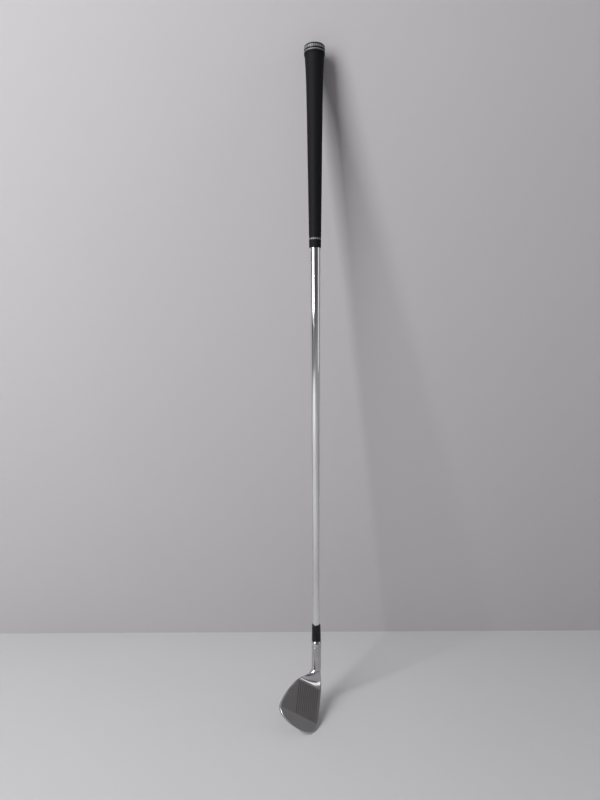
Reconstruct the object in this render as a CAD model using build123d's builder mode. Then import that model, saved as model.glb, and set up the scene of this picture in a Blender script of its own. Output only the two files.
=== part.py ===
from build123d import *
import math
import os

os.makedirs("parts", exist_ok=True)

# ---------------------------------------------------------------- driving dimensions (mm, degrees)
club_length = 896.5          # butt end to the ground datum, along the shaft
lie_angle = 64.0             # shaft to the ground plane
loft_angle = 52.0            # face to the plane of the shaft

shaft_butt_d = 15.24
shaft_tip_d = 9.40
shaft_wall = 0.70
step_count = 11
first_step = 258.9           # distance of the first step below the butt end
step_pitch = 43.8
step_blend = 1.2             # length of each conical step

grip_length = 265.0
grip_cap_height = 12.0
grip_cap_d = 28.0
grip_cap_floor = 4.0
grip_shoulder_d = 26.8       # sleeve diameter just under the cap
grip_mouth_d = 16.4
grip_flare = 3.4             # extra diameter of the flare that meets the cap
grip_flare_fade = 20.0       # distance over which the flare dies away
tape_thickness = 0.20
vent_hole_r = 2.0
inlay_depth = 0.45

cap_band_top = 1.9
cap_band_height = 4.2
cap_line_top = 7.7
cap_line_height = 1.4
mouth_band_height = 3.0
mouth_band_above_mouth = 10.5

ferrule_length = 24.0
ferrule_top_d = 12.2
ferrule_bottom_d = 13.4

hosel_d = 13.6
hosel_above_ground = 73.0    # hosel top to the ground datum, along the shaft
hosel_bore_depth = 33.0
epoxy_thickness = 0.10
neck_groove_below_top = 8.0
neck_groove_width = 0.9
neck_groove_depth = 0.35
tip_weight_length = 22.0

leading_edge_forward = 7.0   # leading edge in front of the shaft axis
leading_edge_height = 3.0
blade_reach = 74.8           # toe end from the ground datum
crotch_radius = 11.0
blade_full_section = 4.0     # where the neck has become the full blade
scoreline_count = 11
scoreline_pitch = 3.2
scoreline_width = 0.85
scoreline_depth = 0.40
scoreline_heel = 7.0
scoreline_toe = 55.0
scoreline_first = 5.5

# ---------------------------------------------------------------- frames
# +Z is up the shaft axis, +X the way the face looks, and the toe lies towards -Y.
lie_turn = math.radians(lie_angle)
loft_turn = math.radians(loft_angle)
ground_datum = Vector(0, 0, -club_length)
toe_way = Vector(0, -math.sin(lie_turn), -math.cos(lie_turn))
target_way = Vector(1, 0, 0)
head_up = Vector(0, -math.cos(lie_turn), math.sin(lie_turn))
face_up = head_up * math.cos(loft_turn) - target_way * math.sin(loft_turn)
face_normal = target_way * math.cos(loft_turn) + head_up * math.sin(loft_turn)
face_foot = ground_datum + target_way * leading_edge_forward + head_up * leading_edge_height


def top_line(u):
    """Height of the top line up the face at a distance u from the datum towards the toe."""
    return min(37.3 + 0.76 * u - 0.0050 * u * u, 64.8)


def toe_round(u, start, power):
    """One until start, then falls along a superellipse to zero at the toe end."""
    share = max(0.0, (u - start) / (blade_reach - start))
    return (1.0 - share**power) ** (1.0 / power)


# ---------------------------------------------------------------- grip and shaft radii
def shaft_radius(depth):
    """Outer radius of the shaft at a depth below the butt end."""
    steps_passed = sum(1 for k in range(step_count) if depth >= first_step + step_pitch * k)
    return (shaft_butt_d - (shaft_butt_d - shaft_tip_d) * steps_passed / step_count) / 2


def grip_radius(depth):
    """Outer radius of the rubber sleeve at a depth below the butt end."""
    below_cap = depth - grip_cap_height
    straight = grip_shoulder_d - grip_flare
    straight += (grip_mouth_d - straight) * below_cap / (grip_length - grip_cap_height)
    return (straight + grip_flare * math.exp(-below_cap / grip_flare_fade)) / 2


# ---------------------------------------------------------------- shaft
shaft_start = grip_cap_floor
hosel_top = club_length - hosel_above_ground
shaft_end = hosel_top + hosel_bore_depth

with BuildPart() as shaft:
    with BuildSketch(Plane.XZ):
        with BuildLine():
            outer = [(shaft_radius(0), -shaft_start)]
            inner = [(shaft_radius(0) - shaft_wall, -shaft_start)]
            for k in range(step_count):
                depth = first_step + step_pitch * k
                before, after = shaft_radius(depth - 1), shaft_radius(depth)
                outer += [(before, -depth + step_blend), (after, -depth)]
                inner += [(before - shaft_wall, -depth + step_blend), (after - shaft_wall, -depth)]
            outer.append((shaft_tip_d / 2, -shaft_end))
            inner.append((shaft_tip_d / 2 - shaft_wall, -shaft_end))
            Polyline(*outer, *reversed(inner), close=True)
        make_face()
    revolve(axis=Axis.Z)
shaft.part.label = "shaft"
export_step(shaft.part, "parts/shaft.step")

# ---------------------------------------------------------------- grip tape, sleeve, cap and inlays
tape_inner = shaft_butt_d / 2
tape_outer = tape_inner + tape_thickness
tape_end = first_step - step_blend - 1.0

with BuildPart() as grip_tape:
    with BuildSketch(Plane.XY.offset(-tape_end)):
        Circle(tape_outer)
        Circle(tape_inner, mode=Mode.SUBTRACT)
    extrude(amount=tape_end - grip_cap_floor)
grip_tape.part.label = "grip_tape"
export_step(grip_tape.part, "parts/grip_tape.step")

spigot_r = grip_cap_d / 2 - 2.2
mouth_band_top = grip_length - mouth_band_above_mouth - mouth_band_height
sleeve_stations = [grip_cap_height, 20.0, 30.0, 45.0, 70.0, 110.0, 180.0, grip_length - 0.8]

with BuildPart() as grip_sleeve:
    with BuildSketch(Plane.XZ):
        with BuildLine():
            skin = Spline(*[(grip_radius(depth), -depth) for depth in sleeve_stations])
            mouth_r = grip_radius(grip_length)
            Polyline(
                skin @ 1,
                (mouth_r - 0.8, -grip_length),
                (shaft_radius(grip_length), -grip_length),
                (shaft_radius(grip_length), -first_step),
                (tape_inner, -first_step + step_blend),
                (tape_inner, -tape_end),
                (tape_outer, -tape_end),
                (tape_outer, -grip_cap_floor),
                (spigot_r, -grip_cap_floor),
                (spigot_r, -grip_cap_height),
                skin @ 0,
            )
        make_face()
    revolve(axis=Axis.Z)
    band_mid_r = grip_radius(mouth_band_top + mouth_band_height / 2)
    with BuildSketch(Plane.XY.offset(-mouth_band_top - mouth_band_height)):
        Circle(band_mid_r + 3)
        Circle(band_mid_r - inlay_depth, mode=Mode.SUBTRACT)
    extrude(amount=mouth_band_height, mode=Mode.SUBTRACT)
grip_sleeve.part.label = "grip_sleeve"
export_step(grip_sleeve.part, "parts/grip_sleeve.step")

with BuildPart() as mouth_band:
    with BuildSketch(Plane.XY.offset(-mouth_band_top - mouth_band_height)):
        Circle(band_mid_r)
        Circle(band_mid_r - inlay_depth, mode=Mode.SUBTRACT)
    extrude(amount=mouth_band_height)
mouth_band.part.label = "mouth_band"
export_step(mouth_band.part, "parts/mouth_band.step")

cap_r = grip_cap_d / 2
cap_grooves = {"cap_band": (cap_band_top, cap_band_height), "cap_line": (cap_line_top, cap_line_height)}

with BuildPart() as grip_cap:
    with BuildSketch(Plane.XZ):
        with BuildLine():
            Polyline(
                (vent_hole_r, 0),
                (cap_r - 1.6, 0),
                (cap_r - 0.5, -0.5),
                (cap_r, -1.6),
                (cap_r, -grip_cap_height + 0.5),
                (cap_r - 0.5, -grip_cap_height),
                (spigot_r, -grip_cap_height),
                (spigot_r, -grip_cap_floor),
                (vent_hole_r, -grip_cap_floor),
                close=True,
            )
        make_face()
    revolve(axis=Axis.Z)
    for top, height in cap_grooves.values():
        with BuildSketch(Plane.XY.offset(-top - height)):
            Circle(cap_r + 1)
            Circle(cap_r - inlay_depth, mode=Mode.SUBTRACT)
        extrude(amount=height, mode=Mode.SUBTRACT)
grip_cap.part.label = "grip_cap"
export_step(grip_cap.part, "parts/grip_cap.step")

for inlay_name, (top, height) in cap_grooves.items():
    with BuildPart() as inlay:
        with BuildSketch(Plane.XY.offset(-top - height)):
            Circle(cap_r)
            Circle(cap_r - inlay_depth, mode=Mode.SUBTRACT)
        extrude(amount=height)
    inlay.part.label = inlay_name
    export_step(inlay.part, f"parts/{inlay_name}.step")

# ---------------------------------------------------------------- ferrule, epoxy and swing weight
ferrule_top = hosel_top - ferrule_length

with BuildPart() as ferrule:
    with BuildSketch(Plane.XZ):
        with BuildLine():
            side = ThreePointArc(
                (ferrule_top_d / 2, -ferrule_top - 0.4),
                ((ferrule_top_d + ferrule_bottom_d) / 4 + 0.15, -ferrule_top - ferrule_length / 2),
                (ferrule_bottom_d / 2, -hosel_top),
            )
            Polyline(
                side @ 1,
                (shaft_tip_d / 2, -hosel_top),
                (shaft_tip_d / 2, -ferrule_top),
                (ferrule_top_d / 2 - 0.4, -ferrule_top),
                side @ 0,
            )
        make_face()
    revolve(axis=Axis.Z)
ferrule.part.label = "ferrule"
export_step(ferrule.part, "parts/ferrule.step")

bore_r = shaft_tip_d / 2 + epoxy_thickness

with BuildPart() as hosel_epoxy:
    with BuildSketch(Plane.XY.offset(-shaft_end)):
        Circle(bore_r)
        Circle(shaft_tip_d / 2, mode=Mode.SUBTRACT)
    extrude(amount=hosel_bore_depth)
hosel_epoxy.part.label = "hosel_epoxy"
export_step(hosel_epoxy.part, "parts/hosel_epoxy.step")

with BuildPart() as tip_weight:
    with BuildSketch(Plane.XY.offset(-shaft_end)):
        Circle(shaft_tip_d / 2 - shaft_wall)
    extrude(amount=tip_weight_length)
    chamfer(tip_weight.edges().sort_by(Axis.Z)[-1], 0.6)
tip_weight.part.label = "tip_weight"
export_step(tip_weight.part, "parts/tip_weight.step")

# ---------------------------------------------------------------- clubhead
# The crotch pivot is the axis of the round corner between neck and top line, in (toe, up) terms.
crotch_top = leading_edge_height + top_line(0) * math.cos(loft_turn)
pivot_up = crotch_top + crotch_radius
neck_side = hosel_d / 2 + crotch_radius
pivot_toe = (neck_side - pivot_up * math.cos(lie_turn)) / math.sin(lie_turn)
neck_base = pivot_up * math.sin(lie_turn) - pivot_toe * math.cos(lie_turn)

# Where each outline point lies on the round neck: degrees from the crotch side, over the front.
outline_angles = [0, 22, 52, 82, 112, 138, 160, 182, 202, 222, 246, 270, 296, 322, 342]


def blade_outline(u):
    """Blade section at u as (height up the face, depth behind the face) pairs, like outline_angles."""
    top = top_line(u)
    thick = toe_round(u, 46.0, 2.4)
    centre = 28.0
    high = centre + (top - centre) * toe_round(u, 50.0, 2.1)
    low = centre - centre * toe_round(u, 40.0, 2.6)
    span = high - low
    rear = low + 17.5 * span / top
    sole = 13.4 * thick
    return [
        (high + 0.3, 2.4 * thick),
        (high - 1.1, 0.0),
        (low + 0.68 * span, 0.0),
        (low + 0.36 * span, 0.0),
        (low + 0.05 * span, 0.0),
        (low - 1.3 * thick, 1.5 * thick),
        (low - 0.1 * thick, 4.8 * thick),
        (low + 0.36 * (rear - low), 0.72 * sole),
        (low + 0.74 * (rear - low), 0.98 * sole),
        (rear, sole),
        (rear + 0.10 * span, 0.84 * sole),
        (rear + 0.26 * span, 0.60 * sole),
        (high - 0.24 * span, 0.43 * sole),
        (high - 0.08 * span, 0.36 * sole),
        (high - 0.5, 0.31 * sole),
    ]


def blade_points(u):
    """The blade section at u as (forward, up) pairs measured from the ground datum."""
    points = []
    for rise, depth in blade_outline(u):
        forward = leading_edge_forward - rise * math.sin(loft_turn) - depth * math.cos(loft_turn)
        up = leading_edge_height + rise * math.cos(loft_turn) - depth * math.sin(loft_turn)
        points.append((forward, up))
    return points


def neck_points(weight, u):
    """A section between the round neck (weight 0) and the blade (weight 1): (forward, below pivot)."""
    points = []
    for angle, (forward, up) in zip(outline_angles, blade_points(u)):
        turn = math.radians(angle)
        round_forward = hosel_d / 2 * math.sin(turn)
        round_below = neck_side - hosel_d / 2 * math.cos(turn)
        points.append(
            (
                round_forward + (forward - round_forward) * weight,
                round_below + (pivot_up - up - round_below) * weight,
            )
        )
    return points


def section_plane(turn, along):
    """Plane of a section: turned about the crotch pivot, then carried along its own normal."""
    normal = Vector(0, 0, -1) * math.cos(turn) + Vector(0, -1, 0) * math.sin(turn)
    pivot = ground_datum + toe_way * pivot_toe + head_up * pivot_up
    return Plane(origin=pivot + normal * along, x_dir=target_way, z_dir=normal)


def smooth_share(x):
    return x * x * (3 - 2 * x)


fan_steps = 12
blend_steps = 2
blade_steps = 16
toe_crowding = 1.9           # above 1 the sections stand closer together towards the toe
toe_margin = 0.15
fan_length = lie_turn * (crotch_radius + 6.0)
blend_length = fan_length + blade_full_section - pivot_toe

sections = [(0.0, neck_base - hosel_above_ground, 0.0, 0.0), (0.0, 0.0, 0.0, 0.0)]
for k in range(1, fan_steps + 1):
    share = k / fan_steps
    sections.append((lie_turn * share, 0.0, smooth_share(share * fan_length / blend_length), pivot_toe))
for k in range(1, blend_steps + 1):
    along = (blade_full_section - pivot_toe) * k / blend_steps
    weight = smooth_share((fan_length + along) / blend_length)
    sections.append((lie_turn, along, weight, pivot_toe + along))
for k in range(1, blade_steps + 1):
    share = 1 - (1 - k / blade_steps) ** toe_crowding
    station = blade_full_section + (blade_reach - toe_margin - blade_full_section) * share
    sections.append((lie_turn, station - pivot_toe, 1.0, station))

with BuildPart() as clubhead:
    for turn, along, weight, u in sections:
        with BuildSketch(section_plane(turn, along)):
            with BuildLine():
                Spline(*[(x, -below) for x, below in neck_points(weight, u)], periodic=True)
            make_face()
    loft(ruled=True)
    with BuildSketch(Plane.XY.offset(-shaft_end)):
        Circle(bore_r)
    extrude(amount=hosel_bore_depth, mode=Mode.SUBTRACT)
    with BuildSketch(Plane.XY.offset(-hosel_top - neck_groove_below_top - neck_groove_width)):
        Circle(hosel_d)
        Circle(hosel_d / 2 - neck_groove_depth, mode=Mode.SUBTRACT)
    extrude(amount=neck_groove_width, mode=Mode.SUBTRACT)
    for k in range(scoreline_count):
        line_foot = face_foot + face_up * (scoreline_first + scoreline_pitch * k)
        line_middle = line_foot + toe_way * (scoreline_heel + scoreline_toe) / 2
        with BuildSketch(Plane(origin=line_middle, x_dir=toe_way, z_dir=face_normal)):
            Rectangle(scoreline_toe - scoreline_heel, scoreline_width)
        extrude(amount=scoreline_depth, both=True, mode=Mode.SUBTRACT)
clubhead.part.label = "clubhead"
export_step(clubhead.part, "parts/clubhead.step")
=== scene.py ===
"""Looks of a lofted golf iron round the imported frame: head, stepped shaft, ferrule and grip.

Lengths are in metres and the frame is the part's own: +Z up the shaft axis, +X the way the face
looks, the toe towards -Y, and the origin at the grip's butt end.
"""

import logging
import math
from dataclasses import dataclass, field
from enum import Enum
from typing import Any, Optional, Sequence, Union

import bpy
import numpy as np
from mathutils import Matrix, Vector

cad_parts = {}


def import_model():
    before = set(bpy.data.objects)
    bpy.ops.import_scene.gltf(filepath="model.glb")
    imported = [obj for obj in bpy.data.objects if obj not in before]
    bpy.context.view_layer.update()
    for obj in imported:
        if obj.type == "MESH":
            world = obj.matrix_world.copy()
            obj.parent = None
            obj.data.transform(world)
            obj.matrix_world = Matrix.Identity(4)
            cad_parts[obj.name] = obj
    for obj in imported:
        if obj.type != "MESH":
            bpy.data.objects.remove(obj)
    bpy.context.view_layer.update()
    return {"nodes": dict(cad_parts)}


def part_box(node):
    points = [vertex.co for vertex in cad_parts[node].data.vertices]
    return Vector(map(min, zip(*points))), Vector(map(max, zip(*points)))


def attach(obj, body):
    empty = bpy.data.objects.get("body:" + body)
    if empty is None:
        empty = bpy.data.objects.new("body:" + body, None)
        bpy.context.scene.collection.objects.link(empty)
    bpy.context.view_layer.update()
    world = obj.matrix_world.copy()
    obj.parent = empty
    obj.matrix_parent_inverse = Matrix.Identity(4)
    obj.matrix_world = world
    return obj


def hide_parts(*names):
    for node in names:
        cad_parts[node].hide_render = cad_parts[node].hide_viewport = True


log = logging.getLogger("golf_iron")

MM = 0.001
BODY = "root"
AROUND = 96


# ------------------------------------------------------------------ shader arithmetic
class Value:
    """A shader socket that takes part in ordinary arithmetic."""

    def __init__(self, graph: "Graph", socket: bpy.types.NodeSocket) -> None:
        """Keeps the graph the socket belongs to, and the socket."""
        self.graph = graph
        self.socket = socket

    def _math(self, operation: str, *operands: Union["Value", float]) -> "Value":
        """Adds a Math node.

        Args:
            operation: Blender's name of the operation.
            operands: its inputs, in order.

        Returns:
            The node's result.
        """
        inputs = dict(enumerate(operands))
        return self.graph.node("ShaderNodeMath", {"operation": operation}, inputs)

    def __add__(self, other: Union["Value", float]) -> "Value":
        """self + other."""
        return self._math("ADD", self, other)

    def __radd__(self, other: float) -> "Value":
        """other + self."""
        return self._math("ADD", other, self)

    def __sub__(self, other: Union["Value", float]) -> "Value":
        """self - other."""
        return self._math("SUBTRACT", self, other)

    def __rsub__(self, other: float) -> "Value":
        """other - self."""
        return self._math("SUBTRACT", other, self)

    def __mul__(self, other: Union["Value", float]) -> "Value":
        """self * other."""
        return self._math("MULTIPLY", self, other)

    def __rmul__(self, other: float) -> "Value":
        """other * self."""
        return self._math("MULTIPLY", other, self)

    def above(self, level: Union["Value", float]) -> "Value":
        """1 where self is greater than level, else 0."""
        return self._math("GREATER_THAN", self, level)

    def size(self) -> "Value":
        """The absolute value."""
        return self._math("ABSOLUTE", self)

    def ramp(self, low: float, high: float) -> "Value":
        """A smooth step.

        Args:
            low: value at which the step starts.
            high: value at which it has reached 1.

        Returns:
            0 below low, 1 above high, eased in between.
        """
        inputs = {"Value": self, "From Min": low, "From Max": high}
        settings = {"interpolation_type": "SMOOTHSTEP", "clamp": True}
        return self.graph.node("ShaderNodeMapRange", settings, inputs)

    def between(self, low: float, high: float, edge: float) -> "Value":
        """1 from low to high, easing to 0 over edge outside them."""
        return self.ramp(low - edge, low) * (1 - self.ramp(high, high + edge))


def add_node(
    tree: bpy.types.NodeTree,
    kind: str,
    settings: Optional[dict[str, Any]],
    inputs: Optional[dict[Union[str, int], Any]],
    output: Union[str, int],
) -> bpy.types.NodeSocket:
    """Adds one node to a tree.

    Args:
        tree: the node tree.
        kind: the node's type.
        settings: attributes, set before the sockets.
        inputs: socket name or number to a value, or to a socket or Value to link.
        output: the output that is handed back.

    Returns:
        The chosen output socket.
    """
    made = tree.nodes.new(kind)
    for key, setting in (settings or {}).items():
        setattr(made, key, setting)
    for key, given in (inputs or {}).items():
        if isinstance(given, Value):
            given = given.socket
        if isinstance(given, bpy.types.NodeSocket):
            tree.links.new(given, made.inputs[key])
        else:
            made.inputs[key].default_value = given
    return made.outputs[output]


class Graph:
    """A material's node tree."""

    def __init__(self, name: str) -> None:
        """Starts an empty material of that name."""
        self.material = bpy.data.materials.new(name)
        self.material.use_nodes = True
        self.tree = self.material.node_tree
        self.tree.nodes.clear()

    def node(
        self,
        kind: str,
        settings: Optional[dict[str, Any]] = None,
        inputs: Optional[dict[Union[str, int], Any]] = None,
        output: Union[str, int] = 0,
    ) -> Value:
        """Adds one node to the material.

        Args:
            kind: the node's type.
            settings: attributes, set before the sockets.
            inputs: socket name or number to a value or a link.
            output: the output that is handed back.

        Returns:
            The chosen output.
        """
        return Value(self, add_node(self.tree, kind, settings, inputs, output))

    @staticmethod
    def set_stops(
        ramp: bpy.types.ColorRamp, stops: Sequence[tuple[float, tuple[float, ...]]]
    ) -> None:
        """Sets a colour ramp's stops to (place, colour) pairs."""
        while len(ramp.elements) > 1:
            ramp.elements.remove(ramp.elements[-1])
        for number, (place, colour) in enumerate(stops):
            stop = ramp.elements[0] if number == 0 else ramp.elements.new(place)
            stop.position = place
            stop.color = (*colour[:3], 1.0)

    def place(self) -> Value:
        """The object's own coordinates."""
        return self.node("ShaderNodeTexCoord", output="Object")

    def along(self, place: Value, way: Vector, start: Vector) -> Value:
        """Distance along a direction.

        Args:
            place: coordinates.
            way: unit direction.
            start: where the distance is zero.

        Returns:
            The distance in metres.
        """
        dot = self.node(
            "ShaderNodeVectorMath",
            {"operation": "DOT_PRODUCT"},
            {0: place, 1: tuple(way)},
            output="Value",
        )
        return dot - way.dot(start)

    def noise(self, place: Value, scale: float, detail: float = 3.0, stretch: float = 1.0) -> Value:
        """Noise from 0 to 1.

        Args:
            place: coordinates.
            scale: cells to the metre.
            detail: octaves.
            stretch: how much longer the grain is along the shaft than across it.

        Returns:
            The noise.
        """
        squeezed = self.node(
            "ShaderNodeMapping", inputs={"Vector": place, "Scale": (1.0, 1.0, 1.0 / stretch)}
        )
        inputs = {"Vector": squeezed, "Scale": scale, "Detail": detail}
        return self.node("ShaderNodeTexNoise", inputs=inputs)

    def blend(self, share: Value, first: Any, second: Any) -> Value:
        """A colour mix of first and second by share."""
        inputs = {0: share}
        for slot, given in ((6, first), (7, second)):
            inputs[slot] = given if isinstance(given, Value) else (*given, 1.0)
        return self.node("ShaderNodeMix", {"data_type": "RGBA"}, inputs, output=2)

    def bump(self, height: Value, distance: float, strength: float) -> Value:
        """A bumped normal from a height in units of distance."""
        inputs = {"Height": height, "Distance": distance, "Strength": strength}
        return self.node("ShaderNodeBump", inputs=inputs)

    def finish(self, **sockets: Any) -> bpy.types.Material:
        """Ends the material in a Principled shader.

        Args:
            sockets: socket names, with _ for a space, to values or links.

        Returns:
            The material.
        """
        inputs = {key.replace("_", " "): given for key, given in sockets.items()}
        shader = self.node("ShaderNodeBsdfPrincipled", inputs=inputs, output="BSDF")
        self.node_output(shader)
        return self.material

    def node_output(self, shader: Value) -> None:
        """Links a shader to the material's output."""
        end = self.tree.nodes.new("ShaderNodeOutputMaterial")
        self.tree.links.new(shader.socket, end.inputs["Surface"])


# ------------------------------------------------------------------ finishes
@dataclass(frozen=True)
class MetalFinish:
    """Plated or turned metal with faint smears."""

    name: str
    tint: tuple[float, float, float]
    roughness: float
    smear: float = 0.05
    metallic: float = 1.0

    def material(self) -> bpy.types.Material:
        """Builds the material."""
        graph = Graph(self.name)
        place = graph.place()
        smears = graph.noise(place, 38.0, 4.0, stretch=5.0)
        fine = graph.noise(place, 900.0, 2.0, stretch=14.0)
        dim = tuple(channel * 0.86 for channel in self.tint)
        return graph.finish(
            Base_Color=graph.blend(smears.ramp(0.35, 0.75), self.tint, dim),
            Metallic=self.metallic,
            Roughness=self.roughness + self.smear * smears.ramp(0.4, 0.8) + 0.02 * fine,
            Normal=graph.bump(fine, 0.02 * MM, 0.12),
        )


@dataclass(frozen=True)
class PlainFinish:
    """Rubber, paint, plastic, paper or adhesive with a fine grain."""

    name: str
    tint: tuple[float, float, float]
    roughness: float
    grain_scale: float = 1400.0
    grain_height: float = 0.05 * MM
    lift: float = 1.5
    specular: float = 0.5

    def material(self) -> bpy.types.Material:
        """Builds the material."""
        graph = Graph(self.name)
        place = graph.place()
        grain = graph.noise(place, self.grain_scale, 3.0)
        wear = graph.noise(place, 55.0, 4.0, stretch=3.0)
        worn = tuple(min(1.0, channel * self.lift) for channel in self.tint)
        return graph.finish(
            Base_Color=graph.blend(wear.ramp(0.45, 0.85), self.tint, worn),
            Roughness=self.roughness + 0.08 * (wear - 0.5) + 0.05 * (grain - 0.5),
            Specular_IOR_Level=self.specular,
            Normal=graph.bump(grain, self.grain_height, 0.5),
        )


CHROME = MetalFinish("polished_chrome", (0.80, 0.80, 0.81), 0.07)
BRASS = MetalFinish("turned_brass", (0.72, 0.55, 0.26), 0.28)
RUBBER = PlainFinish(
    "grip_rubber", (0.0030, 0.0030, 0.0040), 0.70, 1500.0, 0.06 * MM, 1.6, 0.16
)
PIP_RUBBER = PlainFinish(
    "grip_pip_rubber", (0.0034, 0.0034, 0.0044), 0.64, 2200.0, 0.03 * MM, 1.6, 0.18
)
PAINT = PlainFinish("silver_grey_fill", (0.17, 0.17, 0.18), 0.42, 2600.0, 0.02 * MM, 1.25)
DARK_PAINT = PlainFinish("charcoal_fill", (0.035, 0.035, 0.038), 0.5, 2600.0, 0.02 * MM, 1.3)
PLASTIC = PlainFinish("ferrule_plastic", (0.004, 0.004, 0.005), 0.16, 700.0, 0.004 * MM, 1.4, 0.3)
PAPER = PlainFinish("tape_paper", (0.62, 0.58, 0.48), 0.8, 900.0, 0.03 * MM, 0.9)
SCORELINE = MetalFinish("scoreline_steel", (0.16, 0.158, 0.155), 0.45)
ADHESIVE = PlainFinish("cured_adhesive", (0.42, 0.36, 0.22), 0.35, 700.0, 0.02 * MM, 1.1)


# ------------------------------------------------------------------ mesh helpers
def mesh_piece(
    name: str,
    points: Sequence[Sequence[float]],
    faces: Sequence[Sequence[int]],
    material: bpy.types.Material,
    sharp_degrees: float = 32.0,
) -> bpy.types.Object:
    """Makes one mesh object, smooth but for its sharp edges.

    Args:
        name: the piece's name.
        points: vertex positions in metres.
        faces: vertex numbers of each face.
        material: its finish.
        sharp_degrees: edges that turn more than this stay crisp.

    Returns:
        The object, at the origin.
    """
    mesh = bpy.data.meshes.new(name)
    mesh.from_pydata([tuple(p) for p in points], [], [tuple(f) for f in faces])
    mesh.materials.append(material)
    mesh.validate()
    mesh.shade_smooth()
    mesh.set_sharp_from_angle(angle=math.radians(sharp_degrees))
    piece = bpy.data.objects.new(name, mesh)
    bpy.context.scene.collection.objects.link(piece)
    return piece


def strip(
    first: int, second: int, count: int, flipped: bool = False
) -> list[tuple[int, int, int, int]]:
    """Quads between two rings of points.

    Args:
        first: number of the first ring's first point.
        second: number of the second ring's first point.
        count: points in each ring.
        flipped: turns the quads to face the other way.

    Returns:
        The quads.
    """
    quads = []
    for k in range(count):
        after = (k + 1) % count
        a, b, c, d = first + k, second + k, second + after, first + after
        quads.append((a, d, c, b) if flipped else (a, b, c, d))
    return quads


def evaluated_mesh(piece: bpy.types.Object) -> bpy.types.Mesh:
    """The piece's mesh after its modifiers, as a mesh of its own."""
    bpy.context.view_layer.update()
    depsgraph = bpy.context.evaluated_depsgraph_get()
    return bpy.data.meshes.new_from_object(piece.evaluated_get(depsgraph), depsgraph=depsgraph)


def turned_piece(
    name: str, profile: Sequence[tuple[float, float]], material: bpy.types.Material
) -> bpy.types.Object:
    """Turns a closed profile about the shaft axis.

    Args:
        name: the piece's name.
        profile: (radius, height) pairs, down the outside and back up the inside.
        material: its finish.

    Returns:
        The closed ring-shaped piece.
    """
    points, faces = [], []
    for radius, height in profile:
        for k in range(AROUND):
            turn = 2 * math.pi * k / AROUND
            points.append((radius * math.cos(turn), radius * math.sin(turn), height))
    count = len(profile)
    for row in range(count):
        faces += strip(row * AROUND, (row + 1) % count * AROUND, AROUND)
    return mesh_piece(name, points, faces, material)


def rounded(corner: tuple[float, float], radius: float, quadrant: int) -> list[tuple[float, float]]:
    """Points of a quarter round that replaces a profile's corner.

    Args:
        corner: the (radius, height) of the sharp corner.
        radius: the round's radius.
        quadrant: 0 for an outer top corner, 1 for an outer bottom one.

    Returns:
        The points, going down the outside.
    """
    steps = 6
    points = []
    for k in range(steps + 1):
        turn = math.pi / 2 * k / steps
        if quadrant == 0:
            out, up = math.sin(turn), math.cos(turn)
            points.append((corner[0] - radius * (1 - out), corner[1] - radius * (1 - up)))
        else:
            out, down = math.cos(turn), math.sin(turn)
            points.append((corner[0] - radius * (1 - out), corner[1] + radius * (1 - down)))
    return points


def dress_node(frame: dict[str, Any], node: str, material: bpy.types.Material) -> None:
    """Gives a carried-over node its finish."""
    piece = frame["nodes"][node]
    piece.data.materials.clear()
    piece.data.materials.append(material)
    log.info("dressed %s", node)


def stand_for(piece: bpy.types.Object, node: str) -> None:
    """Lets a piece ride on the body and stand for a node."""
    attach(piece, BODY)
    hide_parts(node)
    log.info("piece %s stands for %s", piece.name, node)


# ------------------------------------------------------------------ geometry node trees
class MarkShape(Enum):
    """Shape of a repeated mark."""

    PIP = "pip"
    DASH = "dash"


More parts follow.
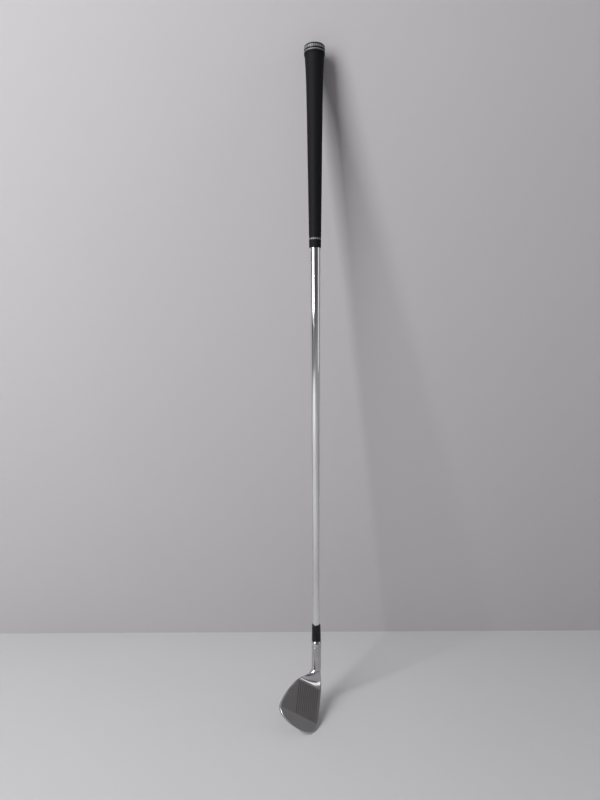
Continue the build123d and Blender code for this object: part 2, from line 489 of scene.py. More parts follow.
class NodeTree:
    """A Geometry Nodes tree with named inputs."""

    def __init__(self, name: str, sockets: dict[str, str]) -> None:
        """Starts a tree.

        Args:
            name: the tree's name.
            sockets: input name to socket type.
        """
        self.tree = bpy.data.node_groups.new(name, "GeometryNodeTree")
        self.tree.interface.new_socket(
            "Geometry", in_out="OUTPUT", socket_type="NodeSocketGeometry"
        )
        self.identifiers = {}
        for socket, kind in sockets.items():
            made = self.tree.interface.new_socket(socket, in_out="INPUT", socket_type=kind)
            self.identifiers[socket] = made.identifier
        self.given = self.tree.nodes.new("NodeGroupInput")

    def input(self, name: str) -> bpy.types.NodeSocket:
        """The tree's input of that name."""
        return self.given.outputs[name]

    def add(
        self,
        kind: str,
        settings: Optional[dict[str, Any]] = None,
        inputs: Optional[dict[Union[str, int], Any]] = None,
        output: Union[str, int] = 0,
    ) -> bpy.types.NodeSocket:
        """Adds one node.

        Args:
            kind: the node's type.
            settings: attributes, set before the sockets.
            inputs: socket name or number to a value or a socket to link.
            output: the output that is handed back.

        Returns:
            The chosen output socket.
        """
        return add_node(self.tree, kind, settings, inputs, output)

    def math(self, operation: str, first: Any, second: Any = 0.0) -> bpy.types.NodeSocket:
        """A Math node on two values."""
        return self.add("ShaderNodeMath", {"operation": operation}, {0: first, 1: second})

    def end(self, geometry: bpy.types.NodeSocket, material: bpy.types.NodeSocket) -> None:
        """Realizes the instances, sets the material and closes the tree."""
        real = self.add("GeometryNodeRealizeInstances", inputs={"Geometry": geometry})
        inputs = {"Geometry": real, "Material": material}
        dressed = self.add("GeometryNodeSetMaterial", inputs=inputs)
        out = self.tree.nodes.new("NodeGroupOutput")
        self.tree.links.new(dressed, out.inputs["Geometry"])

    def piece(self, name: str, values: dict[str, Any]) -> bpy.types.Object:
        """Runs the tree and keeps its result as a plain mesh.

        Args:
            name: the piece's name.
            values: input name to value.

        Returns:
            The object, at the origin, with no modifier.
        """
        holder = bpy.data.objects.new(name, bpy.data.meshes.new(name))
        bpy.context.scene.collection.objects.link(holder)
        modifier = holder.modifiers.new("marks", "NODES")
        modifier.node_group = self.tree
        for key, value in values.items():
            modifier[self.identifiers[key]] = value
        mesh = evaluated_mesh(holder)
        holder.modifiers.remove(modifier)
        holder.data = mesh
        return holder


def marks_tree(shape: MarkShape) -> NodeTree:
    """Marks in staggered rows round a turned surface.

    Args:
        shape: pips are low domes, dashes are thin blocks.

    Returns:
        The tree.
    """
    sockets = {
        "Surface": "NodeSocketObject",
        "Rows": "NodeSocketInt",
        "Columns": "NodeSocketInt",
        "Top": "NodeSocketFloat",
        "Pitch": "NodeSocketFloat",
        "Mark Size": "NodeSocketVector",
        "Reach": "NodeSocketFloat",
        "Material": "NodeSocketMaterial",
    }
    tree = NodeTree(f"{shape.value}_rows", sockets)
    columns = tree.input("Columns")
    total = tree.math("MULTIPLY", tree.input("Rows"), columns)
    points = tree.add("GeometryNodeMeshLine", inputs={"Count": total, "Offset": (0, 0, 0)})
    index = tree.add("GeometryNodeInputIndex")
    row = tree.math("FLOOR", tree.math("DIVIDE", tree.math("ADD", index, 0.5), columns))
    column = tree.math("SUBTRACT", index, tree.math("MULTIPLY", row, columns))
    stagger = tree.math("MULTIPLY", tree.math("MODULO", row, 2.0), 0.5)
    share = tree.math("DIVIDE", tree.math("ADD", column, stagger), columns)
    turn = tree.math("MULTIPLY", share, 2 * math.pi)
    reach = tree.input("Reach")
    drop = tree.math("MULTIPLY", row, tree.input("Pitch"))
    height = tree.math("SUBTRACT", tree.input("Top"), drop)
    across = tree.math("MULTIPLY", tree.math("COSINE", turn), reach)
    deep = tree.math("MULTIPLY", tree.math("SINE", turn), reach)
    spot = tree.add("ShaderNodeCombineXYZ", inputs={0: across, 1: deep, 2: height})
    placed = tree.add("GeometryNodeSetPosition", inputs={"Geometry": points, "Position": spot})
    surface = tree.add(
        "GeometryNodeObjectInfo", inputs={"Object": tree.input("Surface")}, output="Geometry"
    )
    nearest = tree.add(
        "GeometryNodeProximity", {"target_element": "FACES"}, {0: surface}, output="Position"
    )
    seated = tree.add("GeometryNodeSetPosition", inputs={"Geometry": placed, "Position": nearest})
    if shape is MarkShape.PIP:
        mark = tree.add("GeometryNodeMeshIcoSphere", inputs={"Radius": 0.5, "Subdivisions": 2})
    else:
        mark = tree.add("GeometryNodeMeshCube", inputs={"Size": (1.0, 1.0, 1.0)})
    facing = tree.add("ShaderNodeCombineXYZ", inputs={0: 0.0, 1: 0.0, 2: turn})
    copies = tree.add(
        "GeometryNodeInstanceOnPoints",
        inputs={
            "Points": seated,
            "Instance": mark,
            "Rotation": facing,
            "Scale": tree.input("Mark Size"),
        },
    )
    tree.end(copies, tree.input("Material"))
    return tree


def cutters_tree() -> NodeTree:
    """A row of straight bars, used to cut the scorelines."""
    sockets = {
        "Count": "NodeSocketInt",
        "Start": "NodeSocketVector",
        "Step": "NodeSocketVector",
        "Turn": "NodeSocketVector",
        "Bar Size": "NodeSocketVector",
        "Material": "NodeSocketMaterial",
    }
    tree = NodeTree("scoreline_bars", sockets)
    inputs = {
        "Count": tree.input("Count"),
        "Start Location": tree.input("Start"),
        "Offset": tree.input("Step"),
    }
    points = tree.add("GeometryNodeMeshLine", inputs=inputs)
    bar = tree.add("GeometryNodeMeshCube", inputs={"Size": tree.input("Bar Size")})
    inputs = {"Points": points, "Instance": bar, "Rotation": tree.input("Turn")}
    copies = tree.add("GeometryNodeInstanceOnPoints", inputs=inputs)
    tree.end(copies, tree.input("Material"))
    return tree


# ------------------------------------------------------------------ clubhead
@dataclass
class Clubhead:
    """One-piece head: round neck, crotch and heel, and a lofted blade with scorelines."""

    ground: float
    lie: float = math.radians(64.0)
    loft: float = math.radians(52.0)
    neck_radius: float = 6.8 * MM
    neck_length: float = 73.0 * MM
    bore_radius: float = 4.8 * MM
    bore_depth: float = 33.0 * MM
    edge_forward: float = 7.0 * MM
    edge_height: float = 3.0 * MM
    reach: float = 74.5 * MM
    crotch_radius: float = 11.0 * MM
    full_section: float = 4.0 * MM
    groove_below_top: float = 8.0 * MM
    groove_width: float = 0.9 * MM
    groove_depth: float = 0.35 * MM
    groove_slope: float = 0.05 * MM
    chamfer: float = 0.25 * MM
    chamfer_length: float = 0.3 * MM
    fan_offset: float = 6.0 * MM
    toe_gap: float = 0.02 * MM
    toe_crowding: float = 2.2
    score_count: int = 11
    score_heel: float = 7.0 * MM
    score_toe: float = 55.0 * MM
    score_first: float = 5.5 * MM
    score_pitch: float = 3.2 * MM
    score_width: float = 0.85 * MM
    score_bar_depth: float = 0.8 * MM
    sharp_degrees: float = 40.0
    section_centre: float = 28.0
    rear_height: float = 17.5
    sole_depth: float = 13.4
    round_thick: tuple[float, float] = (46.0, 2.4)
    round_high: tuple[float, float] = (50.0, 2.1)
    round_low: tuple[float, float] = (40.0, 2.6)
    loop_points: int = 168
    fan_rings: int = 26
    blend_rings: int = 14
    blade_rings: int = 84
    neck_rings: int = 8
    toe_way: Vector = field(init=False)
    up: Vector = field(init=False)
    face_up: Vector = field(init=False)
    face_normal: Vector = field(init=False)
    datum: Vector = field(init=False)
    foot: Vector = field(init=False)

    def __post_init__(self) -> None:
        """Works out the head's own directions from lie and loft."""
        target = Vector((1, 0, 0))
        self.toe_way = Vector((0, -math.sin(self.lie), -math.cos(self.lie)))
        self.up = Vector((0, -math.cos(self.lie), math.sin(self.lie)))
        self.face_up = self.up * math.cos(self.loft) - target * math.sin(self.loft)
        self.face_normal = target * math.cos(self.loft) + self.up * math.sin(self.loft)
        self.datum = Vector((0, 0, self.ground))
        self.foot = self.datum + target * self.edge_forward + self.up * self.edge_height

    @staticmethod
    def top_line(u: float) -> float:
        """Height of the top line up the face, in mm, at u mm from the datum."""
        return min(37.0 + 0.76 * u - 0.0050 * u * u, 64.5)

    def toe_round(self, u: float, start: float, power: float) -> float:
        """One until start, then down a superellipse to zero at the toe, in mm."""
        reach = self.reach / MM
        share = min(1.0, max(0.0, (u - start) / (reach - start)))
        return (1.0 - share**power) ** (1.0 / power)

    def control_points(self, u: float) -> list[tuple[float, float, float]]:
        """The section's control points at u.

        Args:
            u: distance from the datum towards the toe, in mm.

        Returns:
            (degrees round the neck, height up the face, depth behind it) triples, in mm.
        """
        top = self.top_line(u)
        thick = self.toe_round(u, *self.round_thick)
        centre = self.section_centre
        high = centre + (top - centre) * self.toe_round(u, *self.round_high)
        low = centre - centre * self.toe_round(u, *self.round_low)
        span = high - low
        rear = low + self.rear_height * span / top
        sole = self.sole_depth * thick
        return [
            (4, high + 0.1, 3.4 * thick),
            (14, high + 0.1, 1.0 * thick),
            (24, high - 0.3, 0.0),
            (38, low + 0.90 * span, 0.0),
            (54, low + 0.68 * span, 0.0),
            (74, low + 0.46 * span, 0.0),
            (94, low + 0.24 * span, 0.0),
            (112, low + 0.09 * span, 0.0),
            (124, low + 0.02 * span, 0.0),
            (136, low - 1.0 * thick, 0.2 * thick),
            (148, low - 1.5 * thick, 2.2 * thick),
            (162, low - 0.2 * thick, 5.4 * thick),
            (180, low + 0.34 * (rear - low), 0.72 * sole),
            (196, low + 0.68 * (rear - low), 0.94 * sole),
            (208, rear - 0.02 * span, sole),
            (220, rear + 0.03 * span, sole),
            (234, rear + 0.10 * span, 0.84 * sole),
            (252, rear + 0.20 * span, 0.66 * sole),
            (272, rear + 0.33 * span, 0.53 * sole),
            (292, high - 0.26 * span, 0.43 * sole),
            (312, high - 0.14 * span, 0.38 * sole),
            (330, high - 0.05 * span, 0.35 * sole),
            (346, high - 0.01 * span, 0.34 * sole),
        ]

    def loop(self, u: float) -> np.ndarray:
        """A smooth closed section at u.

        Args:
            u: distance from the datum towards the toe, in mm.

        Returns:
            Rows of (turn round the neck in radians, forward, up) in metres.
        """
        given = np.array(self.control_points(u))
        count = len(given)
        turns = np.unwrap(np.radians(given[:, 0]))
        places = np.linspace(0.0, count, self.loop_points, endpoint=False)
        base = np.floor(places).astype(int)
        t = places - base
        weights = [
            (1 - t) ** 3 / 6,
            (3 * t**3 - 6 * t**2 + 4) / 6,
            (-3 * t**3 + 3 * t**2 + 3 * t + 1) / 6,
            t**3 / 6,
        ]
        rows = np.zeros((self.loop_points, 3))
        for offset, weight in zip((-1, 0, 1, 2), weights):
            number = base + offset
            wrap = np.floor_divide(number, count)
            picked = np.column_stack(
                [turns[number % count] + 2 * np.pi * wrap, given[number % count, 1:]]
            )
            rows += weight[:, None] * picked
        rise, depth = rows[:, 1] * MM, rows[:, 2] * MM
        cosine, sine = math.cos(self.loft), math.sin(self.loft)
        forward = self.edge_forward - rise * sine - depth * cosine
        up = self.edge_height + rise * cosine - depth * sine
        return np.column_stack([rows[:, 0], forward, up])

    def rings(self) -> list[np.ndarray]:
        """The rings of points from the neck's top to the toe, in metres."""
        crotch_top = self.edge_height + self.top_line(0.0) * MM * math.cos(self.loft)
        pivot_up = crotch_top + self.crotch_radius
        side = self.neck_radius + self.crotch_radius
        pivot_toe = (side - pivot_up * math.cos(self.lie)) / math.sin(self.lie)
        neck_base = pivot_up * math.sin(self.lie) - pivot_toe * math.cos(self.lie)
        pivot = self.datum + self.toe_way * pivot_toe + self.up * pivot_up
        fan_length = self.lie * (self.crotch_radius + self.fan_offset)
        blend_length = fan_length + self.full_section - pivot_toe

        def ring(turn: float, along: float, path: float, u: float, radius: float) -> np.ndarray:
            """One ring: path is the way covered from neck to full blade."""
            share = min(1.0, max(0.0, path / blend_length))
            weight = share * share * (3 - 2 * share)
            section = self.loop(u / MM)
            round_forward = radius * np.sin(section[:, 0])
            round_below = side - radius * np.cos(section[:, 0])
            forward = round_forward + (section[:, 1] - round_forward) * weight
            below = round_below + (pivot_up - section[:, 2] - round_below) * weight
            normal = np.array([0.0, -math.sin(turn), -math.cos(turn)])
            down = np.array([0.0, math.cos(turn), -math.sin(turn)])
            target = np.array([1.0, 0.0, 0.0])
            origin = np.array(pivot) + normal * along
            return origin + forward[:, None] * target + below[:, None] * down

        rings = []
        top = neck_base - self.neck_length
        groove = top + self.groove_below_top
        slope, floor = self.groove_slope, self.groove_depth
        edges = [(top, self.chamfer), (top + self.chamfer_length, 0.0)]
        edges += [(groove, 0.0), (groove + slope, floor)]
        edges += [(groove + self.groove_width - slope, floor), (groove + self.groove_width, 0.0)]
        count = self.neck_rings
        edges += [(groove + -groove * k / count, 0.0) for k in range(1, count + 1)]
        for along, cut in edges:
            rings.append(ring(0.0, along, 0.0, 0.0, self.neck_radius - cut))
        for k in range(1, self.fan_rings + 1):
            share = k / self.fan_rings
            rings.append(
                ring(self.lie * share, 0.0, fan_length * share, pivot_toe, self.neck_radius)
            )
        for k in range(1, self.blend_rings + 1):
            along = (self.full_section - pivot_toe) * k / self.blend_rings
            rings.append(
                ring(self.lie, along, fan_length + along, pivot_toe + along, self.neck_radius)
            )
        for k in range(1, self.blade_rings + 1):
            share = 1 - (1 - k / self.blade_rings) ** self.toe_crowding
            station = self.full_section + (self.reach - self.toe_gap - self.full_section) * share
            rings.append(
                ring(self.lie, station - pivot_toe, blend_length, station, self.neck_radius)
            )
        return rings

    def body(self, material: bpy.types.Material) -> bpy.types.Object:
        """The head's skin with its bored neck, before the scorelines."""
        rings = self.rings()
        count = self.loop_points
        points = [tuple(p) for loop in rings for p in loop]
        faces = []
        for row in range(len(rings) - 1):
            faces += strip(row * count, (row + 1) * count, count)
        last = (len(rings) - 1) * count
        points.append(tuple(np.mean(rings[-1], axis=0)))
        toe = len(points) - 1
        faces += [(last + k, toe, last + (k + 1) % count) for k in range(count)]
        top = rings[0]
        bore_start = len(points)
        for depth in (0.0, self.bore_depth):
            for spot in top:
                out = Vector((spot[0], spot[1], 0)).normalized() * self.bore_radius
                points.append((out.x, out.y, spot[2] - depth))
        for first, second in ((0, bore_start), (bore_start, bore_start + count)):
            faces += strip(first, second, count, flipped=True)
        points.append((0, 0, top[0][2] - self.bore_depth))
        end = len(points) - 1
        low = bore_start + count
        faces += [(low + k, low + (k + 1) % count, end) for k in range(count)]
        return mesh_piece("iron_head", points, faces, material, self.sharp_degrees)

    def build(self, material: bpy.types.Material, groove: bpy.types.Material) -> bpy.types.Object:
        """Makes the head and cuts its scorelines.

        Args:
            material: the head's finish.
            groove: finish inside the scorelines.

        Returns:
            The finished head.
        """
        head = self.body(material)
        heel, toe = self.score_heel, self.score_toe
        start = self.foot + self.face_up * self.score_first + self.toe_way * (heel + toe) / 2
        axes = Matrix((self.toe_way, self.face_up, self.toe_way.cross(self.face_up))).transposed()
        bars = cutters_tree().piece(
            "scoreline_cutter",
            {
                "Count": self.score_count,
                "Start": tuple(start),
                "Step": tuple(self.face_up * self.score_pitch),
                "Turn": tuple(axes.to_euler()),
                "Bar Size": (toe - heel, self.score_width, self.score_bar_depth),
                "Material": groove,
            },
        )
        cut = head.modifiers.new("scorelines", "BOOLEAN")
        cut.operation = "DIFFERENCE"
        cut.solver = "EXACT"
        cut.material_mode = "TRANSFER"
        cut.object = bars
        mesh = evaluated_mesh(head)
        head.modifiers.remove(cut)
        head.data = mesh
        mesh.shade_smooth()
        mesh.set_sharp_from_angle(angle=math.radians(self.sharp_degrees))
        bpy.data.objects.remove(bars)
        stand_for(head, "clubhead")
        return head


@dataclass(frozen=True)
class HeadFinish:
    """Satin steel head with a blasted face between two edge lines."""

    name: str
    satin: tuple[float, float, float] = (0.50, 0.49, 0.50)
    polished: tuple[float, float, float] = (0.66, 0.65, 0.67)
    blasted: tuple[float, float, float] = (0.25, 0.238, 0.235)
    milled: tuple[float, float, float] = (0.335, 0.335, 0.33)
    face_heel: float = 4.2 * MM
    face_toe: float = 56.0 * MM
    line_width: float = 0.7 * MM
    line_edge: float = 0.12 * MM
    zone_edge: float = 0.15 * MM
    flush: tuple[float, float] = (0.06 * MM, 0.16 * MM)
    rubbed_height: float = 9 * MM

    def material(self, head: Clubhead) -> bpy.types.Material:
        """Builds the material on the head's own directions."""
        graph = Graph(self.name)
        place = graph.place()
        u = graph.along(place, head.toe_way, head.datum)
        depth = graph.along(place, head.face_normal, head.foot).size()
        rise = graph.along(place, head.face_up, head.foot)
        on_face = 1 - depth.ramp(*self.flush)
        zone = u.between(self.face_heel, self.face_toe, self.zone_edge) * on_face
        line_start = self.face_heel - self.line_width
        heel_line = u.between(line_start, self.face_heel, self.line_edge) * on_face
        toe_zone = u.above(self.face_toe) * on_face
        smears = graph.noise(place, 55.0, 4.0)
        fine = graph.noise(place, 2600.0, 2.0)
        brushed = graph.noise(place, 700.0, 3.0, stretch=9.0)
        rubbed = rise.ramp(self.rubbed_height, 0.0) * zone * smears.ramp(0.3, 0.7)
        base = graph.blend(smears.ramp(0.35, 0.8), self.satin, self.polished)
        base = graph.blend(toe_zone, base, self.milled)
        base = graph.blend(zone, base, self.blasted)
        base = graph.blend(rubbed * 0.5, base, self.milled)
        base = graph.blend(heel_line, base, self.polished)
        plain = 0.10 + 0.06 * smears + 0.03 * brushed
        rough = plain + (0.50 - plain) * zone + toe_zone * 0.24
        height = fine * zone + brushed * 0.04
        return graph.finish(
            Base_Color=base,
            Metallic=1.0,
            Roughness=rough,
            Normal=graph.bump(height, 0.05 * MM, 0.35),
        )


# ------------------------------------------------------------------ shaft, ferrule and grip
@dataclass
class SteelShaft:
    """Hollow stepped tube."""

    top: float
    bottom: float
    butt_radius: float
    tip_radius: float = 4.7 * MM
    wall: float = 0.7 * MM
    steps: int = 11
    first_step: float = 258.9 * MM
    pitch: float = 43.8 * MM
    blend: float = 1.2 * MM

    def radius(self, depth: float) -> float:
        """Outer radius at a depth below the butt end."""
        passed = sum(1 for k in range(self.steps) if depth >= self.first_step + self.pitch * k)
        return self.butt_radius - (self.butt_radius - self.tip_radius) * passed / self.steps

    def build(self, material: bpy.types.Material) -> bpy.types.Object:
        """Makes the tube."""
        outer = [(self.butt_radius, self.top)]
        for k in range(self.steps):
            depth = self.first_step + self.pitch * k
            before, after = self.radius(depth - MM), self.radius(depth)
            outer += [(before, -depth + self.blend), (after, -depth)]
        outer.append((self.tip_radius, self.bottom))
        inner = [(radius - self.wall, height) for radius, height in reversed(outer)]
        tube = turned_piece("stepped_tube", outer + inner, material)
        stand_for(tube, "shaft")
        return tube


@dataclass
class Ferrule:
    """Tapered plastic collar above the neck."""

    top: float
    bottom: float
    top_radius: float = 6.1 * MM
    bottom_radius: float = 6.65 * MM
    inner_radius: float = 4.7 * MM
    edge: float = 0.4 * MM
    crown: float = 0.13 * MM
    rows: int = 40
    groove_heights: tuple[float, float] = (3.2 * MM, 5.6 * MM)
    groove_half_width: float = 0.4 * MM
    groove_depth: float = 0.18 * MM

    def build(self, material: bpy.types.Material) -> bpy.types.Object:
        """Makes the collar with two fine turned grooves near its lower end."""
        length = self.top - self.bottom
        profile = [(self.inner_radius, self.top), (self.top_radius - self.edge, self.top)]
        for k in range(self.rows + 1):
            share = k / self.rows
            drop = self.edge + (length - self.edge) * share
            swell = self.crown * math.sin(math.pi * share)
            radius = self.top_radius + (self.bottom_radius - self.top_radius) * share + swell
            from_bottom = length - drop
            gaps = [abs(from_bottom - line) for line in self.groove_heights]
            cut = self.groove_depth if min(gaps) < self.groove_half_width else 0.0
            profile.append((radius - cut, self.top - drop))
        profile.append((self.inner_radius, self.bottom))
        collar = turned_piece("ferrule_collar", profile, material)
        stand_for(collar, "ferrule")
        return collar


@dataclass
class RubberGrip:
    """Tapered sleeve with a moulded cap, grey bands and rows of low pips."""

    cap_height: float
    cap_radius: float
    length: float
    shoulder: float = 26.8 * MM
    mouth: float = 16.4 * MM
    flare: float = 3.4 * MM
    flare_fade: float = 20.0 * MM
    cap_floor: float = 4.0 * MM
    vent_radius: float = 2.0 * MM
    spigot: float = 11.8 * MM
    inlay: float = 0.45 * MM
    pip_rows: int = 62
    pip_columns: int = 22
    pip_size: tuple[float, float, float] = (0.32 * MM, 1.1 * MM, 2.6 * MM)
    pip_reach: float = 14.0 * MM
    pips_below_cap: float = 9 * MM
    pips_above_band: float = 6 * MM
    margin: float = 0.08 * MM
    rows: int = 70
    mouth_straight: float = 3 * MM
    mouth_round: float = 0.9 * MM
    tape: float = 0.2 * MM
    vent_sink: float = 0.4 * MM
    vent_lip: float = 0.5 * MM
    cap_flat: float = 0.55
    cap_top_round: float = 1.7 * MM
    cap_foot_round: float = 0.5 * MM
    band_edge: float = 0.12 * MM
    cap_band_recess: float = 0.06 * MM
    mouth_band_recess: float = 0.10 * MM
    dash_share: float = 0.62
    dash_depth: float = 0.10 * MM
    cap_dashes: int = 30
    mouth_dashes: int = 18

    def radius(self, depth: float) -> float:
        """Outer radius of the sleeve at a depth below the butt end."""
        below = depth - self.cap_height
        straight = self.shoulder - self.flare
        straight += (self.mouth - straight) * below / (self.length - self.cap_height)
        return (straight + self.flare * math.exp(-below / self.flare_fade)) / 2

    def band(self, node: str) -> tuple[float, float]:
        """Depths of a band's top and bottom below the butt end."""
        low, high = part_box(node)
        return -high.z, -low.z

    def sleeve(self, material: bpy.types.Material) -> bpy.types.Object:
        """The rubber sleeve, grooved for its mouth band."""
        band_top, band_bottom = self.band("mouth_band")
        floor = self.radius((band_top + band_bottom) / 2) - self.inlay
        margin, steps = self.margin, self.rows
        straight = band_top - self.cap_height
        depths = [self.cap_height + straight * k / steps for k in range(steps)]
        profile = [(self.radius(depth) - margin, -depth) for depth in depths]
        profile += [(self.radius(band_top) - margin, -band_top), (floor, -band_top)]
        profile += [(floor, -band_bottom), (self.radius(band_bottom) - margin, -band_bottom)]
        low = self.mouth_straight
        profile.append((self.radius(self.length - low) - margin, -self.length + low))
        mouth = (self.radius(self.length) - margin, -self.length)
        profile += rounded(mouth, self.mouth_round, 1)
        core_low, core_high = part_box("grip_tape")
        shaft_radius = core_high.x - self.tape
        profile += [
            (shaft_radius, -self.length),
            (shaft_radius, core_low.z),
            (core_high.x, core_low.z),
            (core_high.x, -self.cap_floor),
            (self.spigot, -self.cap_floor),
            (self.spigot, -self.cap_height),
        ]
        skin = turned_piece("rubber_sleeve", profile, material)
        stand_for(skin, "grip_sleeve")
        return skin

    def pips(self, sleeve: bpy.types.Object, material: bpy.types.Material) -> None:
        """Staggered low pips over the sleeve between the cap and the mouth band."""
        band_top, _ = self.band("mouth_band")
        top, bottom = self.cap_height + self.pips_below_cap, band_top - self.pips_above_band
        rows = marks_tree(MarkShape.PIP).piece(
            "grip_pips",
            {
                "Surface": sleeve,
                "Rows": self.pip_rows,
                "Columns": self.pip_columns,
                "Top": -top,
                "Pitch": (bottom - top) / (self.pip_rows - 1),
                "Mark Size": self.pip_size,
                "Reach": self.pip_reach,
                "Material": material,
            },
        )
        rows.data.shade_smooth()
        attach(rows, BODY)
        log.info("piece %s", rows.name)

    def cap(self, material: bpy.types.Material) -> None:
        """The moulded cap with its vent hole and the grooves for its bands."""
        radius, height = self.cap_radius, self.cap_height
        vent = self.vent_radius
        profile = [(vent, -self.vent_sink), (vent + self.vent_lip, 0.0)]
        profile += [(radius * self.cap_flat, 0.0)]
        profile += rounded((radius, 0.0), self.cap_top_round, 0)
        for node in ("cap_band", "cap_line"):
            top, bottom = self.band(node)
            floor = radius - self.inlay
            profile += [(radius, -top), (floor, -top), (floor, -bottom), (radius, -bottom)]
        profile += rounded((radius, -height), self.cap_foot_round, 1)
        profile += [(self.spigot, -height), (self.spigot, -self.cap_floor)]
        profile += [(self.vent_radius, -self.cap_floor)]
        stand_for(turned_piece("butt_cap", profile, material), "grip_cap")

    def ring(self, node: str, outer: float, material: bpy.types.Material) -> bpy.types.Object:
        """A filled band.

        Args:
            node: the band's node.
            outer: its outer radius.
            material: its finish.

        Returns:
            The band.
        """
        top, bottom = self.band(node)
        edge = self.band_edge
        profile = [
            (outer - edge, -top),
            (outer, -top - edge),
            (outer, -bottom + edge),
            (outer - edge, -bottom),
            (outer - self.inlay + edge, -bottom),
            (outer - self.inlay + edge, -top),
        ]
        piece = turned_piece(f"{node}_fill", profile, material)
        stand_for(piece, node)
        return piece

    def dashes(
        self,
        name: str,
        ring: bpy.types.Object,
        node: str,
        columns: int,
        material: bpy.types.Material,
    ) -> None:
        """Short plain dashes round a band.

        Args:
            name: the piece's name.
            ring: the band they sit on.
            node: the band's node.
            columns: how many dashes there are.
            material: their finish.
        """
        top, bottom = self.band(node)
        _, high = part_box(node)
        width = 2 * math.pi * high.x / columns * self.dash_share
        marks = marks_tree(MarkShape.DASH).piece(
            name,
            {
                "Surface": ring,
                "Rows": 1,
                "Columns": columns,
                "Top": -(top + bottom) / 2,
                "Pitch": MM,
                "Mark Size": (self.dash_depth, width, (bottom - top) * self.dash_share),
                "Reach": high.x,
                "Material": material,
            },
        )
        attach(marks, BODY)
        log.info("piece %s", marks.name)

    def build(self) -> None:
        """Makes every piece of the grip."""
        rubber, paint, dark = RUBBER.material(), PAINT.material(), DARK_PAINT.material()
        sleeve = self.sleeve(rubber)
        self.pips(sleeve, PIP_RUBBER.material())
        self.cap(rubber)
        outer = self.cap_radius - self.cap_band_recess
        band = self.ring("cap_band", outer, dark)
        self.dashes("cap_band_dashes", band, "cap_band", self.cap_dashes, paint)
        self.ring("cap_line", outer, paint)
        _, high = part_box("mouth_band")
        mouth = self.ring("mouth_band", high.x - self.mouth_band_recess, dark)
        self.dashes("mouth_band_dashes", mouth, "mouth_band", self.mouth_dashes, paint)


# ------------------------------------------------------------------ stage, lights and camera
@dataclass(frozen=True)
class Lamp:
    """A soft rectangular light, placed from the shaft axis; heights are from the butt end."""

    name: str
    near: float
    right: float
    height: float
    aim_height: float
    size: tuple[float, float]
    power: float


WINDOW = Lamp("window", 1.45, -1.35, 0.46, 0.40, (0.9, 2.2), 66.0)
FILL = Lamp("fill", 0.7, 2.1, -0.1, -0.1, (0.5, 1.6), 3.5)


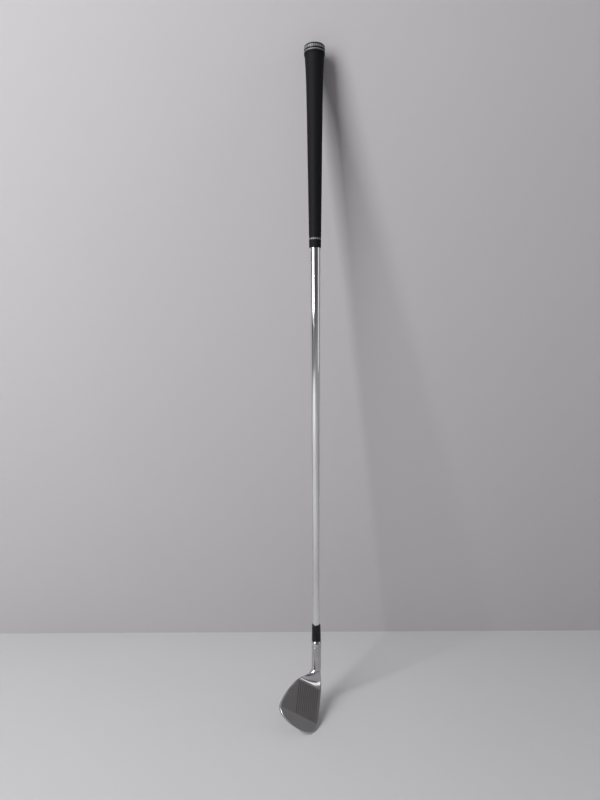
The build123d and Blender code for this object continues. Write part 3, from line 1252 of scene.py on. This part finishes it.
@dataclass
class Studio:
    """Pale floor, plain wall, soft lights and the camera."""

    floor_height: float
    turn: float = math.radians(6.8)
    distance: float = 0.838
    left: float = 0.0218
    camera_height: float = -0.4055
    pitch: float = math.radians(4.68)
    roll: float = math.radians(0.30)
    wall_behind: float = 0.231
    wall_gap_at_butt: float = 0.0165
    half_width: float = 2.5
    floor_depth: float = 3.0
    wall_height: float = 2.4
    sensor_height: float = 36.0
    lens: float = 27.0
    near_clip: float = 0.01
    dimmed: float = 0.95
    floor_tint: tuple[float, float, float] = (0.57, 0.57, 0.58)
    wall_tint: tuple[float, float, float] = (0.405, 0.39, 0.405)
    room_shades: tuple[tuple[float, tuple[float, float, float]], ...] = (
        (0.0, (0.30, 0.30, 0.31)),
        (0.38, (0.28, 0.28, 0.29)),
        (0.44, (0.09, 0.085, 0.09)),
        (0.52, (0.09, 0.085, 0.09)),
        (0.60, (0.26, 0.26, 0.27)),
        (1.0, (0.34, 0.34, 0.35)),
    )

    def towards_camera(self) -> Vector:
        """Level direction from the shaft to the camera."""
        return Vector((math.sin(self.turn), -math.cos(self.turn), 0))

    def rightwards(self) -> Vector:
        """Level direction to the camera's right."""
        return Vector((math.cos(self.turn), math.sin(self.turn), 0))

    def camera(self) -> None:
        """Sets up the camera."""
        data = bpy.data.cameras.new("view")
        data.sensor_fit = "VERTICAL"
        data.sensor_height = self.sensor_height
        data.lens = self.lens
        data.clip_start = self.near_clip
        ahead = -self.towards_camera() * math.cos(self.pitch) - Vector((0, 0, math.sin(self.pitch)))
        right = self.rightwards()
        up = right.cross(ahead)
        turned = Matrix.Rotation(self.roll, 3, ahead)
        right, up = turned @ right, turned @ up
        axes = Matrix((right, up, -ahead)).transposed().to_4x4()
        place = self.towards_camera() * self.distance - self.rightwards() * self.left
        place.z = self.camera_height
        camera = bpy.data.objects.new("view", data)
        camera.matrix_world = Matrix.Translation(place) @ axes
        bpy.context.scene.collection.objects.link(camera)
        bpy.context.scene.camera = camera

    def matte(
        self, name: str, tint: tuple[float, float, float], one_sided: bool
    ) -> bpy.types.Material:
        """A plain matte stage finish, see-through from behind if one_sided."""
        graph = Graph(name)
        place = graph.place()
        cloud = graph.noise(place, 3.0, 2.0)
        dim = tuple(channel * self.dimmed for channel in tint)
        colour = graph.blend(cloud, tint, dim)
        shader = graph.node("ShaderNodeBsdfDiffuse", inputs={"Color": colour})
        if one_sided:
            back = graph.node("ShaderNodeNewGeometry", output="Backfacing")
            clear = graph.node("ShaderNodeBsdfTransparent")
            shader = graph.node("ShaderNodeMixShader", inputs={0: back, 1: shader, 2: clear})
        graph.node_output(shader)
        return graph.material

    def stage(self) -> None:
        """Lays the floor and stands the wall."""
        near, right = self.towards_camera(), self.rightwards()
        wall = -near * self.wall_behind
        wide, deep, tall = self.half_width, self.floor_depth, self.wall_height
        drop = self.wall_behind - self.wall_gap_at_butt
        lean = (near * drop - Vector((0, 0, self.floor_height))).normalized()
        ground = Vector((0, 0, self.floor_height))
        sheets = {
            "floor": [
                wall - right * wide,
                wall + right * wide,
                near * deep + right * wide,
                near * deep - right * wide,
            ],
            "wall": [
                wall - right * wide,
                wall - right * wide + lean * tall,
                wall + right * wide + lean * tall,
                wall + right * wide,
            ],
        }
        for name, corners in sheets.items():
            tint = self.floor_tint if name == "floor" else self.wall_tint
            material = self.matte(f"{name}_matte", tint, name == "wall")
            points = [corner + ground for corner in corners]
            mesh_piece(name, points, [(0, 3, 2, 1)], material)

    def light(self, lamp: Lamp) -> None:
        """Adds a lamp to the scene."""
        near, right = self.towards_camera(), self.rightwards()
        place = near * lamp.near + right * lamp.right + Vector((0, 0, lamp.height))
        aim = Vector((0, 0, lamp.aim_height))
        data = bpy.data.lights.new(lamp.name, "AREA")
        data.shape = "RECTANGLE"
        data.size, data.size_y = lamp.size
        data.energy = lamp.power
        made = bpy.data.objects.new(lamp.name, data)
        made.location = place
        made.rotation_euler = (aim - place).to_track_quat("-Z", "Y").to_euler()
        bpy.context.scene.collection.objects.link(made)

    def room(self, tree: bpy.types.NodeTree) -> None:
        """A grey room: pale below, dim round the horizon and mid-grey above."""
        heading = tree.nodes.new("ShaderNodeTexCoord").outputs["Generated"]
        split = tree.nodes.new("ShaderNodeSeparateXYZ")
        tree.links.new(heading, split.inputs[0])
        height = tree.nodes.new("ShaderNodeMapRange")
        height.inputs["From Min"].default_value = -1.0
        height.inputs["From Max"].default_value = 1.0
        tree.links.new(split.outputs["Z"], height.inputs["Value"])
        ramp = tree.nodes.new("ShaderNodeValToRGB")
        Graph.set_stops(ramp.color_ramp, self.room_shades)
        tree.links.new(height.outputs[0], ramp.inputs["Fac"])
        tree.links.new(ramp.outputs["Color"], tree.nodes["Background"].inputs["Color"])
        tree.nodes["Background"].inputs["Strength"].default_value = 1.0

    def lights(self) -> None:
        """A window-like light from the left, a weak one from the right, and a grey room."""
        self.light(WINDOW)
        self.light(FILL)
        world = bpy.data.worlds.new("room")
        world.use_nodes = True
        self.room(world.node_tree)
        bpy.context.scene.world = world
        bpy.context.scene.view_settings.view_transform = "Standard"

    def build(self) -> None:
        """Sets up the camera, the stage and the lights."""
        self.camera()
        self.stage()
        self.lights()


def main() -> None:
    """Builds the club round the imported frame."""
    logging.basicConfig(level=logging.INFO, format="%(name)s: %(message)s")
    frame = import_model()
    head_low, head_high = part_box("clubhead")
    Studio(floor_height=head_low.z).build()

    head = Clubhead(ground=head_high.z - Clubhead.neck_length)
    head.build(HeadFinish("head_steel").material(head), SCORELINE.material())

    shaft_low, shaft_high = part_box("shaft")
    SteelShaft(shaft_high.z, shaft_low.z, shaft_high.x).build(CHROME.material())
    ferrule_low, ferrule_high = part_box("ferrule")
    Ferrule(ferrule_high.z, ferrule_low.z).build(PLASTIC.material())

    cap_low, cap_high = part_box("grip_cap")
    sleeve_low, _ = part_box("grip_sleeve")
    RubberGrip(-cap_low.z, cap_high.x, -sleeve_low.z).build()

    dress_node(frame, "grip_tape", PAPER.material())
    dress_node(frame, "hosel_epoxy", ADHESIVE.material())
    dress_node(frame, "tip_weight", BRASS.material())


if __name__ == "__main__":
    main()
